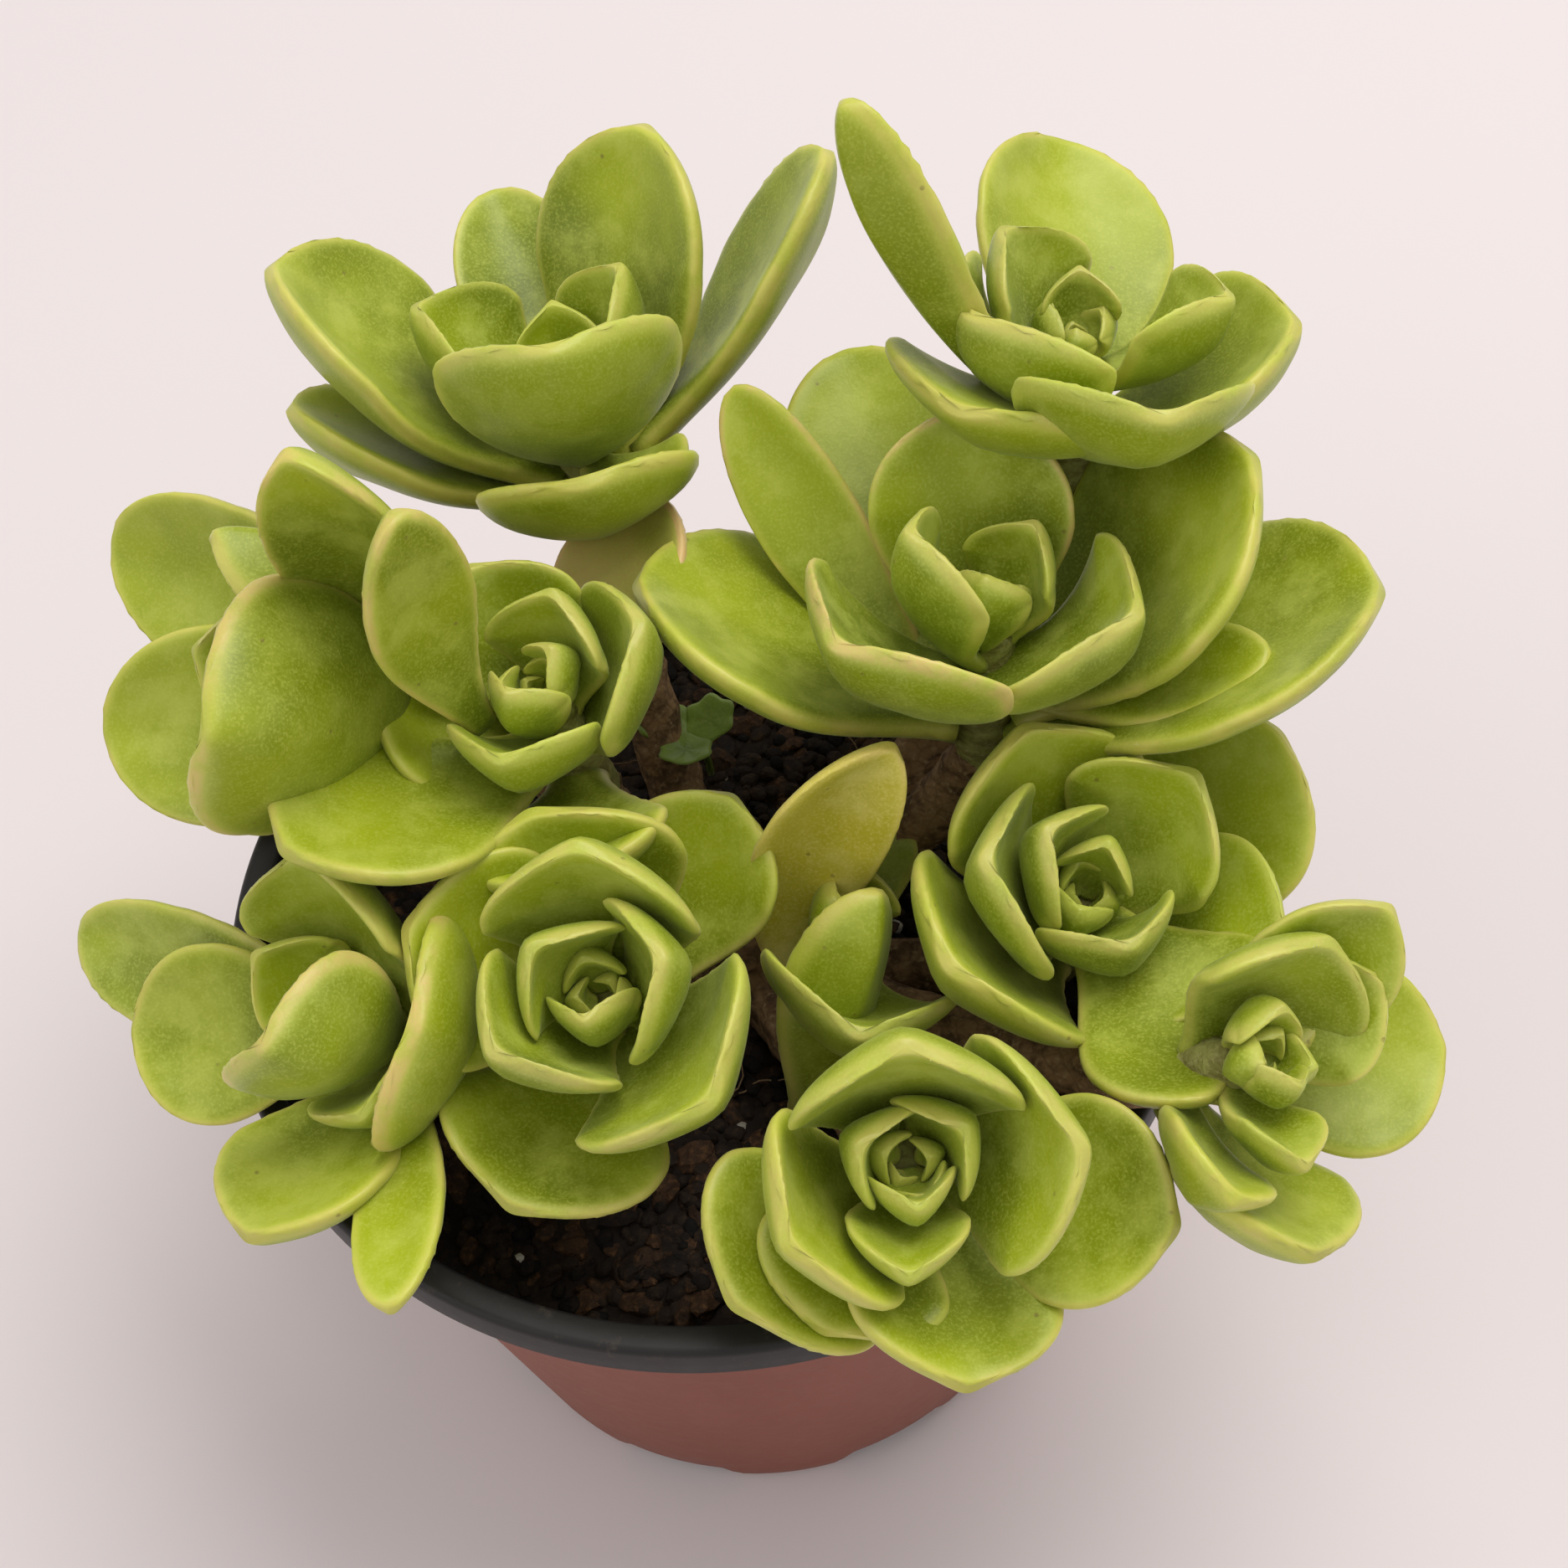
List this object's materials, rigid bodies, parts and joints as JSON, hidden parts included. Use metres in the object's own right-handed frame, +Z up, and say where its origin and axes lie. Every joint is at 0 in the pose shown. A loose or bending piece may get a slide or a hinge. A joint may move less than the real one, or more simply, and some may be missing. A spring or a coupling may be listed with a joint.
{
  "type": "potted succulent plant",
  "caption": "Bushy branched rosette succulent with thick spoon-shaped leaves, growing in a small round tapered nursery pot filled with bark and peat mix.",
  "frame": {"origin": "centre of the pot's underside, on the surface it stands on", "axes": "+Z up, +X to the right seen from the front, -Y towards the front of the plant"},
  "size_m": [0.1351, 0.1367, 0.1403],
  "materials": {
    "pot_plastic": "matte terracotta outside, black inside and on the rolled rim",
    "potting_mix": "dark moist bark and peat mix with pale grains",
    "woody_stem": "rough tan-brown bark with leaf scars",
    "leaf_green": "satin, slightly velvety and translucent yellow-green",
    "young_leaf_green": "satin, slightly velvety and translucent bright green",
    "old_leaf_yellow": "satin yellow-green with brown specks",
    "seedling_green": "soft matte green"
  },
  "bodies": {
    "root": {"back_left_heart": "young_leaf_green", "back_left_leaf_1": "leaf_green", "back_left_leaf_2": "leaf_green", "back_left_leaf_3": "leaf_green", "back_left_leaf_4": "leaf_green", "back_left_leaf_5": "leaf_green", "back_right_heart": "young_leaf_green", "back_right_leaf_1": "leaf_green", "back_right_leaf_2": "leaf_green", "back_right_leaf_3": "leaf_green", "back_right_leaf_4": "leaf_green", "centre_right_heart": "young_leaf_green", "centre_right_leaf_1": "leaf_green", "centre_right_leaf_2": "leaf_green", "centre_right_leaf_3": "leaf_green", "centre_right_leaf_4": "leaf_green", "centre_right_leaf_5": "leaf_green", "centre_right_leaf_6": "leaf_green", "front_centre_heart": "young_leaf_green", "front_centre_leaf_1": "leaf_green", "front_centre_leaf_2": "leaf_green", "front_centre_leaf_3": "leaf_green", "front_centre_leaf_4": "leaf_green", "front_centre_leaf_5": "leaf_green", "front_left_heart": "young_leaf_green", "front_left_leaf_1": "leaf_green", "front_left_leaf_2": "leaf_green", "front_left_leaf_3": "leaf_green", "front_left_leaf_4": "leaf_green", "front_right_heart": "young_leaf_green", "front_right_leaf_1": "leaf_green", "front_right_leaf_2": "leaf_green", "front_right_leaf_3": "leaf_green", "left_heart": "young_leaf_green", "left_leaf_1": "leaf_green", "left_leaf_2": "leaf_green", "left_leaf_3": "leaf_green", "left_leaf_4": "leaf_green", "left_low_heart": "young_leaf_green", "left_low_leaf_1": "leaf_green", "left_low_leaf_2": "leaf_green", "left_low_leaf_3": "leaf_green", "left_low_leaf_4": "leaf_green", "mid_left_heart": "young_leaf_green", "mid_left_leaf_1": "leaf_green", "mid_left_leaf_2": "leaf_green", "mid_left_leaf_3": "leaf_green", "mid_left_leaf_4": "leaf_green", "mid_right_heart": "young_leaf_green", "mid_right_leaf_1": "leaf_green", "mid_right_leaf_2": "leaf_green", "mid_right_leaf_3": "leaf_green", "middle_heart": "young_leaf_green", "middle_leaf_2": "leaf_green", "notched_leaf": "leaf_green", "nursery_pot": "pot_plastic", "old_yellow_leaf": "old_leaf_yellow", "soil": "potting_mix", "weed_seedling": "seedling_green", "woody_stems": "woody_stem"}
  },
  "joints": []
}
